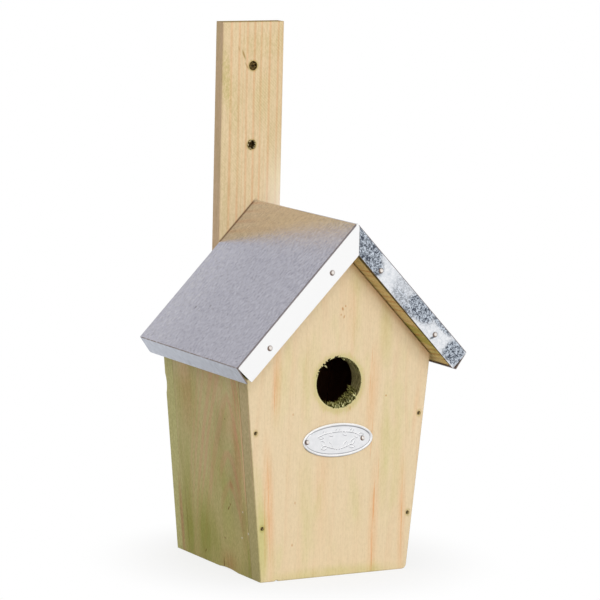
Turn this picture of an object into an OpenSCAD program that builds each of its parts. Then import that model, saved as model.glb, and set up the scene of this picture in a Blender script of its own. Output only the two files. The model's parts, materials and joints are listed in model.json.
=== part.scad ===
// Nest box for small garden birds. Two pentagonal boards and two leaning side walls stand on a
// floor, and two boards make a gabled roof under one folded metal sheet. The box hangs from a tall
// batten on its back. Frame: +Z up, front towards -Y, origin under the middle of the whole box.

/* [Body] */
// Outer width of the front and back walls at the base
bottom_w = 104; // [80:1:160]
// Height of the side walls' outer faces, from the base to the roof boards
shoulder_h = 137; // [105:0.5:200]
// Lean of each side wall away from the vertical, in degrees
wall_splay = 5.7; // [0:0.1:12]
// Depth over the front and back walls
box_depth = 112; // [80:1:180]
// Thickness of the front, back and side walls
wall_t = 12; // [8:0.5:18]
// Thickness of the floor
floor_t = 12; // [8:0.5:18]
// Chamfer along the edges of the front wall, back wall and batten
edge_ease = 0.6; // [0.2:0.1:1.5]
// Clearance between the front wall's top edges and the roof boards
gable_gap = 0.5; // [0:0.1:2]

/* [Entry hole] */
// Diameter of the entry hole
hole_d = 32; // [26:1:45]
// Height of the entry hole's centre above the base
hole_z = 122; // [95:1:160]

/* [Wear] */
// Radius to which the front wall's lower right corner is worn
worn_corner_r = 3; // [0.5:0.5:8]
// Width of the chip in the front wall's lower edge
front_chip_w = 2.8; // [1:0.1:8]
// Height of the chip in the front wall's lower edge
front_chip_h = 1; // [0.5:0.1:3]
// Length of the shallow chip along the left wall's lower edge
side_chip_l = 24; // [10:1:40]
// Height of the shallow chip along the left wall's lower edge
side_chip_h = 0.8; // [0.4:0.1:2]
// Length of the wane on the back wall's left edge
wane_l = 15; // [5:1:40]
// Depth of the wane, square to the edge
wane_depth = 1.4; // [0.5:0.1:4]

/* [Roof boards] */
// Pitch of each roof slope below the horizontal, in degrees
roof_pitch = 46.2; // [30:0.1:60]
// Thickness of the roof boards
roof_board_t = 12; // [8:0.5:18]
// How far the roof boards run on below the side walls' outer faces, along the slope
eave_overhang = 9; // [4:0.5:30]
// How far the roof's front stands out from the front wall
front_overhang = 18; // [8:0.5:40]

/* [Roof sheet] */
// Thickness of the metal sheet
sheet_t = 0.6; // [0.4:0.1:1.2]
// Outer radius of the sheet's folds along the eaves and the front
fold_r = 0.9; // [0.8:0.1:3]
// Outer radius of the sheet's fold along the ridge
ridge_r = 1.6; // [0.8:0.1:4]
// Depth of the front flanges at the eaves, square to the slope
front_flange = 13.8; // [8:0.1:30]
// Depth of the eave flanges, along the flange
eave_flange = 12.7; // [6:0.1:30]
// Angle through which the eave flanges are folded, in degrees
eave_bend = 79.5; // [60:0.5:90]
// Slit between the two front flanges where they meet under the ridge
mitre_gap = 0.2; // [0.1:0.1:1]
// Sideways offset of that slit from the ridge
mitre_shift = 1.5; // [-4:0.5:4]
// How far the front flanges stop short of the eave folds' corners
flange_end_gap = 0.3; // [0.1:0.1:2]
// Radius of the front flanges' lower corners
flange_corner_r = 1; // [0.5:0.1:2]
// Radius of the eave flanges' rear corners
eave_corner_r = 1.3; // [0.5:0.1:3]
// Relief between the folds that meet at each front corner
corner_relief = 0.2; // [0.1:0.1:1]

/* [Batten] */
// Width of the batten
batten_w = 44; // [30:1:60]
// Thickness of the batten
batten_t = 10; // [8:0.5:18]
// Height of the batten
batten_h = 337; // [300:1:450]
// Sideways offset of the batten from the middle of the box
batten_shift = -4; // [-10:0.5:10]
// Diameter of the two hanging holes
hang_hole_d = 6; // [4:0.5:8]
// Distance from the batten's top to the upper hanging hole
hang_hole_drop = 28; // [15:0.5:40]
// Distance between the two hanging holes
hang_hole_pitch = 50.5; // [30:0.5:60]

/* [Oval plate] */
// Length of the oval plate
plate_w = 50; // [30:0.5:60]
// Height of the oval plate
plate_h = 21.5; // [14:0.5:30]
// Height of the oval plate's centre above the base
plate_z = 86; // [60:1:110]
// Thickness of the plate inside its rim
plate_t = 0.6; // [0.4:0.1:1.2]
// How far the plate's rim stands out from the wall
rim_h = 1.2; // [1.0:0.1:2]
// Width of the plate's rim
rim_w = 1.6; // [1.0:0.1:3]

/* [Nails] */
// Diameter of the round-headed pins' heads
pin_head_d = 3.2; // [2.4:0.1:4]
// Height of the round-headed pins' heads
pin_head_h = 0.9; // [0.6:0.1:1.4]
// Diameter of the pins' and wall nails' shanks
shank_d = 1.6; // [1.2:0.1:2]
// Length of the pins through the roof's front flanges
roof_pin_l = 15; // [8:1:25]
// Length of the pins through the oval plate
plate_pin_l = 9; // [6:0.5:10]
// Length of the nails through the front and back walls
wall_nail_l = 30; // [20:1:40]
// Diameter of the wall nails' flat heads
wall_nail_head_d = 2.4; // [2:0.1:4]
// How deep the wall nails' heads are sunk
wall_nail_sink = 0.8; // [0:0.1:2]
// Diameter of the batten nails' flat heads
batten_nail_head_d = 5; // [4:0.1:7]
// Diameter of the batten nails' shanks
batten_nail_d = 2.6; // [2:0.1:3]
// Length of the nails through the batten
batten_nail_l = 19; // [14:0.5:20]
// Thickness of every flat nail head
flat_head_t = 0.8; // [0.5:0.1:1.2]

/* [Hidden] */
SIDES = ["left", "right"];
LEVELS = ["lower", "upper"];

// Radial play of each nail in its hole
nail_play = 0.05;
// How far a cutting solid runs past the face that it cuts
over = 1;
// Segments in each fold of the sheet, and the angle between points on a rounded corner
fold_steps = 6;
ridge_steps = 9;
corner_step = 15;
// How far the sheet's parts run into each other along the folds, in mm and degrees
fold_lap = 0.1;
fold_inset = 0.02;
ridge_lap = 6;

// Depths: the whole box is centred on y = 0, pin heads at the front to the batten's back
front_y = -(box_depth + batten_t - front_overhang - pin_head_h) / 2;
back_y = front_y + box_depth;
roof_front_y = front_y - front_overhang;
board_front_y = roof_front_y + fold_r;
rear_y = back_y + batten_t;

// Heights and widths of the gable, from the shoulder up
shoulder_x = wall_half(shoulder_h);
gable_z = shoulder_h + shoulder_x * tan(roof_pitch);
boards_ridge_z = gable_z + roof_board_t / cos(roof_pitch);
ridge_z = boards_ridge_z + sheet_t / cos(roof_pitch);
splayed_t = wall_t / cos(wall_splay);

// Lengths down the slope, from the ridge line of each layer
board_l = shoulder_x / cos(roof_pitch) + roof_board_t * tan(roof_pitch) + eave_overhang;
eave_setback = fold_r * tan(eave_bend / 2);
sheet_l = sheet_t * tan(roof_pitch) + board_l + eave_setback;
flange_l = sheet_l - flange_end_gap;
flange_apex_z = ridge_z - front_flange / cos(roof_pitch);

// Centre of the ridge fold, and the height where its inner face leaves the boards' slopes
ridge_fold_z = ridge_z - ridge_r / cos(roof_pitch);
ridge_flat_z = ridge_fold_z + (ridge_r - sheet_t) * cos(roof_pitch);

// Middles of the chips and the wane, and the lean of the side chip's cut
front_chip_x = -40.8;
side_chip_at = 42;
side_chip_tilt = 12;
wane_z = 108;

// Nail places. Wall nails are [left, right], each [lower, upper], and sit near the board's edge
front_nail_z = [[34, 94], [36, 99]];
back_nail_z = [[35, 97], [35, 97]];
wall_nail_edge = 3.5;
plate_pin_x = [-21.8, 17.6];
roof_pin_along = [[94.5, 33.5], [92, 34]];
roof_pin_depth = 8.5;
batten_nail_z = [40, 140];

// Half the outer width of the body at a height
function wall_half(z) = bottom_w / 2 + z * tan(wall_splay);

// Unit vector at an angle, as [across, up]
function heading(angle) = [cos(angle), sin(angle)];

// Points on an arc between two angles
function arc(centre, r, from, to, steps) =
    [for (i = [0:steps]) centre + r * heading(from + (to - from) * i / steps)];

function reversed(path) = [for (i = [len(path) - 1:-1:0]) path[i]];

// A point on the right slope: along it from the ridge, and square to it, as [across, up]
function on_slope(top_z, along, out) =
    [0, top_z] + along * heading(-roof_pitch) + out * heading(90 - roof_pitch);

// Sideways sign of side 0, the left, and side 1, the right
function sign_of(side) = side == 0 ? -1 : 1;

// Centre of a wall nail, as [across, up]
function wall_nail_at(heights, side, level) =
    let (z = heights[side][level]) [sign_of(side) * (wall_half(z) - wall_nail_edge), z];

// Centre of a roof pin, as [across, up]
function roof_pin_at(side, level) =
    let (p = on_slope(ridge_z, roof_pin_along[side][level], -roof_pin_depth))
    [sign_of(side) * p.x, p.y];

// Extrudes an outline in the XZ plane from one depth to another
module run(from, to) {
    translate([0, to, 0]) rotate([90, 0, 0]) linear_extrude(to - from) children();
}

// A convex board in the XZ plane with chamfered edges on both faces
module eased_board(outline, from, to) {
    hull() {
        run(from + edge_ease, to - edge_ease) polygon(outline);
        run(from, to) offset(delta = -edge_ease) polygon(outline);
    }
}

// Draws its children on one side; side 0 is the mirror image of side 1
module on_side(side) {
    mirror([side == 0 ? 1 : 0, 0, 0]) children();
}

// Puts a shape made along +Z at a point on a face, pointing into it from the front or the back
module into_front(at, y) {
    translate([at.x, y, at.y]) rotate([-90, 0, 0]) children();
}
module into_back(at, y) {
    translate([at.x, y, at.y]) rotate([90, 0, 0]) children();
}

// A pin with a domed head on the face, and a shank below it that ends in a point
module round_pin(length) {
    dome_r = (pow(pin_head_d / 2, 2) + pow(pin_head_h, 2)) / (2 * pin_head_h);
    intersection() {
        translate([0, 0, dome_r - pin_head_h]) sphere(r = dome_r, $fn = 48);
        translate([0, 0, -pin_head_h]) cylinder(d = pin_head_d, h = pin_head_h, $fn = 48);
    }
    shank(shank_d, 0, length);
}

// A nail with a flat head, its top face at the start
module flat_nail(head_d, body_d, length) {
    cylinder(d = head_d, h = flat_head_t, $fn = 48);
    shank(body_d, flat_head_t, length);
}

// The wire of a nail between two depths, with a point at its end
module shank(d, from, to) {
    point_l = 1.5 * d;
    translate([0, 0, from]) cylinder(d = d, h = to - point_l - from, $fn = 32);
    translate([0, 0, to - point_l]) cylinder(d1 = d, d2 = 0.2 * d, h = point_l, $fn = 32);
}

// The hole that a shank fills
module shank_hole(d, length) {
    translate([0, 0, -over]) cylinder(d = d + 2 * nail_play, h = length + over, $fn = 32);
}

// The hole that a flat nail fills, with room above its head
module flat_nail_hole(head_d, body_d, length, sink) {
    translate([0, 0, -over])
        cylinder(d = head_d + 2 * nail_play, h = over + sink + flat_head_t, $fn = 32);
    shank_hole(body_d, sink + length);
}

// Holes for each group of nails, cut from every piece that the group passes through
module front_nail_cuts() {
    for (side = [0, 1], level = [0, 1])
        into_front(wall_nail_at(front_nail_z, side, level), front_y)
            flat_nail_hole(wall_nail_head_d, shank_d, wall_nail_l, wall_nail_sink);
}

module back_nail_cuts() {
    for (side = [0, 1], level = [0, 1])
        into_back(wall_nail_at(back_nail_z, side, level), back_y)
            flat_nail_hole(wall_nail_head_d, shank_d, wall_nail_l, wall_nail_sink);
}

module batten_nail_cuts() {
    for (z = batten_nail_z)
        into_back([batten_shift, z], rear_y)
            flat_nail_hole(batten_nail_head_d, batten_nail_d, batten_nail_l, 0);
}

module plate_pin_cuts() {
    for (x = plate_pin_x)
        into_front([x, plate_z], front_y - plate_t) shank_hole(shank_d, plate_pin_l);
}

module roof_pin_cuts(side) {
    for (level = [0, 1])
        into_front(roof_pin_at(side, level), roof_front_y) shank_hole(shank_d, roof_pin_l);
}

// Outline of a gable wall, with a clearance under the roof boards and a worn lower right corner
function gable_outline(gap, corner_r) =
    let (
        peak_z = gable_z - gap / cos(roof_pitch),
        side_z = (peak_z - bottom_w / 2 * tan(roof_pitch)) / (1 + tan(wall_splay) * tan(roof_pitch)),
        corner_x = bottom_w / 2 - corner_r * tan(45 - wall_splay / 2)
    )
    concat(
        [[-bottom_w / 2, 0]],
        corner_r > 0
            ? arc([corner_x, corner_r], corner_r, -90, -wall_splay, fold_steps)
            : [[bottom_w / 2, 0]],
        [[wall_half(side_z), side_z], [0, peak_z], [-wall_half(side_z), side_z]]
    );

// Cuts a shallow round scoop out of an edge that runs along X, from below
module scoop(length, depth) {
    r = (pow(length / 2, 2) + pow(depth, 2)) / (2 * depth);
    translate([0, 0, depth - r]) rotate([90, 0, 0])
        cylinder(r = r, h = 2 * length, center = true, $fn = 180);
}

// A notch out of the front wall's lower edge
module front_chip() {
    run(front_y - over, front_y + front_chip_w) translate([front_chip_x - front_chip_w / 2, 0])
        polygon([[0, -over], [front_chip_w, -over], [front_chip_w, 0],
                 [front_chip_w * 0.7, front_chip_h], [front_chip_w * 0.2, front_chip_h], [0, 0]]);
}

// A shallow chip along the left wall's lower outer edge, which runs out inwards
module side_chip() {
    translate([-bottom_w / 2, front_y + side_chip_at, 0]) rotate([0, side_chip_tilt, 0])
        rotate([0, 0, 90]) scoop(side_chip_l, side_chip_h);
}

// The wane on the back wall's left rear edge, square to the edge's corner
module wane() {
    translate([-wall_half(wane_z), back_y, wane_z])
        rotate([0, -wall_splay, 0]) rotate([0, 0, 135]) rotate([0, -90, 0])
            scoop(wane_l, wane_depth);
}

module front_wall() {
    color("burlywood") difference() {
        eased_board(gable_outline(gable_gap, worn_corner_r), front_y, front_y + wall_t);
        front_chip();
        into_front([0, hole_z], front_y)
            translate([0, 0, -over]) cylinder(d = hole_d, h = wall_t + 2 * over, $fn = 96);
        front_nail_cuts();
        plate_pin_cuts();
    }
}

module back_wall() {
    color("burlywood") difference() {
        eased_board(gable_outline(0, 0), back_y - wall_t, back_y);
        wane();
        back_nail_cuts();
        batten_nail_cuts();
    }
}

// A leaning wall between the front and back walls, bevelled at its top to the roof boards
module side_wall(side) {
    inner_base_x = bottom_w / 2 - splayed_t;
    lean = tan(wall_splay);
    pitch = tan(roof_pitch);
    inner_top_z = (gable_z - inner_base_x * pitch) / (1 + lean * pitch);
    color("tan") difference() {
        on_side(side) run(front_y + wall_t, back_y - wall_t) polygon([
            [inner_base_x, 0], [bottom_w / 2, 0], [shoulder_x, shoulder_h],
            [inner_base_x + inner_top_z * lean, inner_top_z]
        ]);
        if (side == 0) side_chip();
        front_nail_cuts();
        back_nail_cuts();
    }
}

module floor_board() {
    base_x = bottom_w / 2 - splayed_t;
    top_x = wall_half(floor_t) - splayed_t;
    color("wheat") run(front_y + wall_t, back_y - wall_t)
        polygon([[-base_x, 0], [base_x, 0], [top_x, floor_t], [-top_x, floor_t]]);
}

// A roof board. The right one runs up to the ridge and the left one butts against its underside
module roof_board(side) {
    ridge_angle = 2 * roof_pitch;
    upper_end = side == 1
        ? [[0, 0], [-roof_board_t / tan(ridge_angle), -roof_board_t]]
        : [[roof_board_t / sin(ridge_angle), 0], [roof_board_t * tan(roof_pitch), -roof_board_t]];
    outline = [
        upper_end[1], upper_end[0], [board_l, 0], [board_l, -roof_board_t]
    ];
    color("peru") difference() {
        on_side(side) run(board_front_y, back_y)
            polygon([for (p = outline) on_slope(boards_ridge_z, p.x, p.y)]);
        translate([-ridge_r * 2, board_front_y - over, ridge_flat_z])
            cube([ridge_r * 4, box_depth + front_overhang + 2 * over, roof_board_t]);
        roof_pin_cuts(side);
    }
}

// The ridge fold's line at a depth below its outer face, from the left slope to the right
function ridge_fold(depth) =
    arc([0, ridge_fold_z], ridge_r - depth, 90 + roof_pitch, 90 - roof_pitch, ridge_steps);

// The right eave's line at a depth below its outer face, from the slope to the flange's edge
function eave_fold(depth) =
    concat(
        arc(on_slope(ridge_z, sheet_l - eave_setback, -fold_r), fold_r - depth,
            90 - roof_pitch, 90 - roof_pitch - eave_bend, fold_steps),
        [on_slope(ridge_z, sheet_l, 0) + eave_flange * heading(-roof_pitch - eave_bend)
            - depth * heading(90 - roof_pitch - eave_bend)]
    );

// The whole sheet's line at a depth below its outer face, from the left eave to the right
function sheet_line(depth) =
    concat(
        [for (p = reversed(eave_fold(depth))) [-p.x, p.y]], ridge_fold(depth), eave_fold(depth)
    );

// The metal between the outer and inner lines of a fold
module band(outer, inner) {
    polygon(concat(outer, reversed(inner)));
}

// One side's end of the front flanges, from the fold to the lower edge
function flange_end(side) =
    let (
        top = -fold_r + fold_lap,
        corner = [flange_l - flange_corner_r, -front_flange + flange_corner_r]
    )
    [for (p = concat([[flange_l, top]], arc(corner, flange_corner_r, 0, -90, 90 / corner_step)))
        let (at = on_slope(ridge_z, p.x, p.y)) [sign_of(side) * at.x, at.y]];

// The fold between the right slope and its front flange, a hair thinner than the metal it joins
module front_fold() {
    centre = [board_front_y, -fold_r];
    translate([0, 0, ridge_z]) rotate([0, roof_pitch, 0]) rotate([90, 0, 90])
        linear_extrude(sheet_l - eave_setback - corner_relief)
            band(arc(centre, fold_r - fold_inset, 90, 180, fold_steps),
                 arc(centre, fold_r - sheet_t + fold_inset, 90, 180, fold_steps));
}

// The wedge between the two slopes' ends at the ridge fold, less an angle at each side
function ridge_wedge(r, lap) =
    concat([[0, ridge_fold_z]],
           arc([0, ridge_fold_z], r, 90 - roof_pitch + lap, 90 + roof_pitch - lap, ridge_steps));

// Both front folds up to the ridge fold, and both flanges, which meet under it at a slit
module front_flanges() {
    difference() {
        union() {
            difference() {
                for (side = [0, 1]) on_side(side) front_fold();
                run(roof_front_y - over, board_front_y + over)
                    polygon(ridge_wedge(ridge_z - ridge_fold_z + over, ridge_lap));
            }
            run(roof_front_y, roof_front_y + sheet_t) {
                polygon(concat(
                    [[0, ridge_z - (fold_r - fold_lap) / cos(roof_pitch)]], flange_end(1),
                    [[mitre_shift, flange_apex_z]], reversed(flange_end(0))
                ));
                polygon(ridge_wedge(ridge_r - sheet_t / 2, ridge_lap / 2));
            }
        }
        run(roof_front_y - over, board_front_y + over)
            translate([mitre_shift - mitre_gap / 2, 0]) square([mitre_gap, ridge_z]);
    }
}

// Rounds off the right eave flange's rear corner
module eave_corner_cut() {
    tip = on_slope(ridge_z, sheet_l, 0) + eave_flange * heading(-roof_pitch - eave_bend);
    translate([tip.x, back_y, tip.y]) rotate([0, roof_pitch + eave_bend, 0])
        translate([-eave_corner_r, -eave_corner_r, 0])
            linear_extrude(2 * sheet_t + 2 * over, center = true) difference() {
                square(eave_corner_r + over);
                circle(eave_corner_r, $fn = 48);
            }
}

module roof_sheet() {
    color("lightgray") difference() {
        union() {
            run(board_front_y - fold_lap, back_y) band(sheet_line(0), sheet_line(sheet_t));
            run(roof_front_y, board_front_y) band(ridge_fold(0), ridge_fold(sheet_t));
            front_flanges();
        }
        for (side = [0, 1]) {
            roof_pin_cuts(side);
            on_side(side) eave_corner_cut();
        }
    }
}

module mounting_batten() {
    half = batten_w / 2;
    color("burlywood") difference() {
        translate([batten_shift, 0, 0])
            eased_board([[-half, 0], [half, 0], [half, batten_h], [-half, batten_h]],
                        back_y, rear_y);
        for (drop = [hang_hole_drop, hang_hole_drop + hang_hole_pitch])
            into_back([batten_shift, batten_h - drop], rear_y + over)
                cylinder(d = hang_hole_d, h = batten_t + 2 * over, $fn = 48);
        batten_nail_cuts();
    }
}

// An ellipse of the plate's proportions, drawn in by a distance from its edge
module plate_oval(inset, h) {
    scale([plate_w / 2 - inset, plate_h / 2 - inset, 1]) cylinder(r = 1, h = h, $fn = 96);
}

module oval_plate() {
    color("gainsboro") difference() {
        translate([0, front_y, plate_z]) rotate([90, 0, 0]) difference() {
            plate_oval(0, rim_h);
            translate([0, 0, plate_t]) plate_oval(rim_w, rim_h);
        }
        plate_pin_cuts();
    }
}

module plate_pin(side) {
    color("silver") into_front([plate_pin_x[side], plate_z], front_y - plate_t)
        round_pin(plate_pin_l);
}

module roof_pin(side, level) {
    color("silver") into_front(roof_pin_at(side, level), roof_front_y) round_pin(roof_pin_l);
}

module front_nail(side, level) {
    color("dimgray") into_front(wall_nail_at(front_nail_z, side, level), front_y + wall_nail_sink)
        flat_nail(wall_nail_head_d, shank_d, wall_nail_l);
}

module back_nail(side, level) {
    color("dimgray") into_back(wall_nail_at(back_nail_z, side, level), back_y - wall_nail_sink)
        flat_nail(wall_nail_head_d, shank_d, wall_nail_l);
}

module batten_nail(level) {
    color("dimgray") into_back([batten_shift, batten_nail_z[level]], rear_y)
        flat_nail(batten_nail_head_d, batten_nail_d, batten_nail_l);
}

front_wall();
back_wall();
side_wall(0);  // left_wall
side_wall(1);  // right_wall
floor_board();  // floor
roof_board(0);  // left_roof_board
roof_board(1);  // right_roof_board
roof_sheet();
mounting_batten();
oval_plate();
for (i = [0, 1])
    plate_pin(i);
for (i = [0, 1], j = [0, 1])
    roof_pin(i, j);
for (i = [0, 1], j = [0, 1])
    front_nail(i, j);
for (i = [0, 1], j = [0, 1])
    back_nail(i, j);
for (j = [0, 1])
    batten_nail(j);
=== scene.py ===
"""Looks for a wooden nest box with a folded metal roof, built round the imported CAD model.

Blender's units are metres. Patterns are laid out in mm, in the object's own frame or in a
board's: across and along its outer face.
"""

import json
import math
import random

import bpy
from mathutils import Matrix, Vector

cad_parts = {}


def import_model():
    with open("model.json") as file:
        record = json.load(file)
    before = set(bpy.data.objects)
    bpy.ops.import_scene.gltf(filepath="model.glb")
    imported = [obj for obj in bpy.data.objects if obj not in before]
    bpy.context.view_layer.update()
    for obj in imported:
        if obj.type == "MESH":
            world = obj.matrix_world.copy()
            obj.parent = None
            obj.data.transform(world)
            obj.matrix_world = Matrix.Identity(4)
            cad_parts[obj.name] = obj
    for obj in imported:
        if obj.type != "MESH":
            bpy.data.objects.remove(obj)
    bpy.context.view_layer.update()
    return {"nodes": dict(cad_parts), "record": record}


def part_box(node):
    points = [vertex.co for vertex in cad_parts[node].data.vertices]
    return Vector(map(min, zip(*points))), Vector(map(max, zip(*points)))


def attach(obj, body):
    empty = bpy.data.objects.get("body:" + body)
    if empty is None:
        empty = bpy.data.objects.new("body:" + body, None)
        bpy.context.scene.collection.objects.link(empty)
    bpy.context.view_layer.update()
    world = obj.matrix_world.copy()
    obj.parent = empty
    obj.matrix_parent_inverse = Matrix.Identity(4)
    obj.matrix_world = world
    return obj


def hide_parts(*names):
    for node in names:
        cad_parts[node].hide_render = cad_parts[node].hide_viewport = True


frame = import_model()
scene = bpy.context.scene
MM = 0.001


# ---------------- places read from the frame

front_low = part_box("front_wall")[0]
back_low, back_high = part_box("back_wall")
sheet_low, sheet_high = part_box("roof_sheet")
batten_low, batten_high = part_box("mounting_batten")
plate_low, plate_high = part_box("oval_plate")

FRONT_Y = front_low.y
ENTRY = next(m for m in frame["record"]["mounts"] if m["name"] == "entry_hole")
HANGING = next(m for m in frame["record"]["mounts"] if m["name"] == "hang_holes")
HOLE = Vector((ENTRY["pos_m"][0], FRONT_Y, ENTRY["pos_m"][2]))

# In mm, as in the record's dims
HOLE_R = ENTRY["dims"]["r_mm"]
BOARD_T = ENTRY["dims"]["length_mm"]
HANG_R = HANGING["dims"]["hole_r_mm"]
HANG_PITCH = HANGING["dims"]["spacing_y_mm"]
SHEET_FRONT = sheet_low.y * 1000
BACK_FRONT = back_low.y * 1000
RIDGE_Z = sheet_high.z * 1000

# The same as in part.scad: the roof's pitch, its board with its sheet, the side walls' lean and
# half the body's width at its base
PITCH = math.radians(46.2)
ROOF_T = 12.6
SPLAY = math.radians(5.7)
BASE_HALF = 52.0

# How far a side wall's outer face lies from the origin, and how long a slope of the sheet is
SIDE_FACE = BASE_HALF * math.cos(SPLAY)
EAVE = sheet_high.x * 1000 / math.cos(PITCH)

# Where the hanging holes start, in metres
HANG_HOLES = {name: (HANGING["pos_m"][0], batten_low.y,
                     HANGING["pos_m"][2] + step * HANG_PITCH * MM)
              for name, step in (("lower", -0.5), ("upper", 0.5))}


def middles(start):
    """The middles, in metres, of the nodes whose names begin with start."""
    return [(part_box(name)[0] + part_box(name)[1]) / 2 for name in sorted(frame["nodes"])
            if name.startswith(start)]


WALL_NAILS, ROOF_PINS, PLATE_PINS = (middles(start)
                                     for start in ("front_nail", "roof_pin", "plate_pin"))


# ---------------- a short way to write node trees

class Nodes:
    """Each call adds one node to a material's tree and returns what comes out of it."""

    def __init__(self, tree):
        self.tree = tree

    def add(self, kind, feeds=None, **settings):
        node = self.tree.nodes.new("ShaderNode" + kind)
        for name, value in settings.items():
            setattr(node, name, value)
        self.fill(node, feeds or {})
        return node

    def fill(self, node, feeds):
        """Links what comes out of a node, and sets what is the same everywhere."""
        for name, value in feeds.items():
            if isinstance(value, bpy.types.NodeSocket):
                self.tree.links.new(value, node.inputs[name])
            else:
                node.inputs[name].default_value = value

    def math(self, operation, *values):
        return self.add("Math", dict(enumerate(values)), operation=operation).outputs[0]

    def total(self, first, *rest):
        for value in rest:
            first = self.math("ADD", first, value)
        return first

    def times(self, first, *rest):
        for value in rest:
            first = self.math("MULTIPLY", first, value)
        return first

    def most(self, first, *rest):
        for value in rest:
            first = self.math("MAXIMUM", first, value)
        return first

    def minus(self, a, b):
        return self.math("SUBTRACT", a, b)

    def size(self, value):
        return self.math("ABSOLUTE", value)

    def dot(self, vector, direction):
        feeds = {0: vector, 1: direction}
        return self.add("VectorMath", feeds, operation="DOT_PRODUCT").outputs["Value"]

    def axis(self, vector, name, scale=1):
        """One coordinate of a vector, times scale."""
        return self.dot(vector, tuple(scale if name == axis else 0 for axis in "xyz"))

    def mm(self, place, name):
        """One coordinate of a place in metres, in mm."""
        return self.axis(place, name, 1000)

    def length(self, vector):
        return self.add("VectorMath", {0: vector}, operation="LENGTH").outputs["Value"]

    def combine(self, x, y, z):
        return self.add("CombineXYZ", {0: x, 1: y, 2: z}).outputs[0]

    def ramp(self, value, low, high, start=0.0, end=1.0):
        """value from low to high becomes start to end, smoothly, and stays there outside."""
        feeds = {"Value": value, "From Min": low, "From Max": high, "To Min": start, "To Max": end}
        return self.add("MapRange", feeds, interpolation_type="SMOOTHSTEP").outputs[0]

    def noise(self, vector, scale=1.0, detail=2.0, roughness=0.5, distortion=0.0):
        return self.add("TexNoise", {"Vector": vector, "Scale": scale, "Detail": detail,
                                     "Roughness": roughness, "Distortion": distortion}).outputs[0]

    def mix(self, factor, a, b, blend_type="MIX"):
        feeds = {0: factor, 6: a, 7: b}
        return self.add("Mix", feeds, data_type="RGBA", blend_type=blend_type).outputs[2]

    def stain(self, colour, mask, tone):
        """Multiplies the colour by a tone where the mask is 1."""
        return self.mix(mask, colour, self.mix(1.0, colour, tone, "MULTIPLY"))

    def position(self):
        return self.add("TexCoord").outputs["Object"]

    def spot(self, face, x, y, wide, high, tilt=0.0, strength=1.0, hard=0.3):
        """strength inside an ellipse of those half sizes, tilted anticlockwise, falling to 0."""
        feeds = {"Vector": face, "Location": (x, y, 0), "Rotation": (0, 0, math.radians(tilt)),
                 "Scale": (wide, high, 3.0)}
        inside = self.add("Mapping", feeds, vector_type="TEXTURE").outputs[0]
        return self.ramp(self.length(inside), hard, 1.0, strength, 0.0)

    def spots(self, face, places):
        """The strongest of several spots, each (x, y, wide, high, tilt, strength, hard)."""
        return self.most(*(self.spot(face, *place) for place in places))


def linear(value):
    value /= 255
    return value / 12.92 if value <= 0.04045 else ((value + 0.055) / 1.055) ** 2.4


def srgb(red, green, blue):
    """A colour given as 0 to 255 on screen, as the linear values that shaders use."""
    return (linear(red), linear(green), linear(blue), 1.0)


def new_material(name):
    """A material, the writer of its node tree and its shader."""
    material = bpy.data.materials.new(name)
    material.use_nodes = True
    tree = material.node_tree
    return material, Nodes(tree), tree.nodes["Principled BSDF"]


def dress(name, material):
    """Gives a CAD node a material."""
    node = frame["nodes"][name]
    node.data.materials.clear()
    node.data.materials.append(material)


def keep(piece, material):
    """Finishes a new piece: its material and the body it moves with."""
    piece.data.materials.append(material)
    scene.collection.objects.link(piece)
    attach(piece, "root")


# ---------------- wood

class Board:
    """A board's own axes: across and along its outer face, and out of it. face is the outer
    face's distance from the origin in mm. pith is where the tree's centre line passes, as
    (across, out), and drift is how far that moves per mm along. rings are clear growth rings, as
    (across, along, width, strength)."""

    def __init__(self, across, along, face, pith, drift, rings=()):
        self.across, self.along = Vector(across).normalized(), Vector(along).normalized()
        self.out = self.across.cross(self.along)
        self.face, self.pith, self.drift, self.rings = face, pith, drift, rings

    def reach(self, across, along):
        """Radius of the growth ring that shows at a point of the outer face."""
        return math.hypot(across - self.pith[0] - self.drift[0] * along,
                          self.face - self.pith[1] - self.drift[1] * along)


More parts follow.
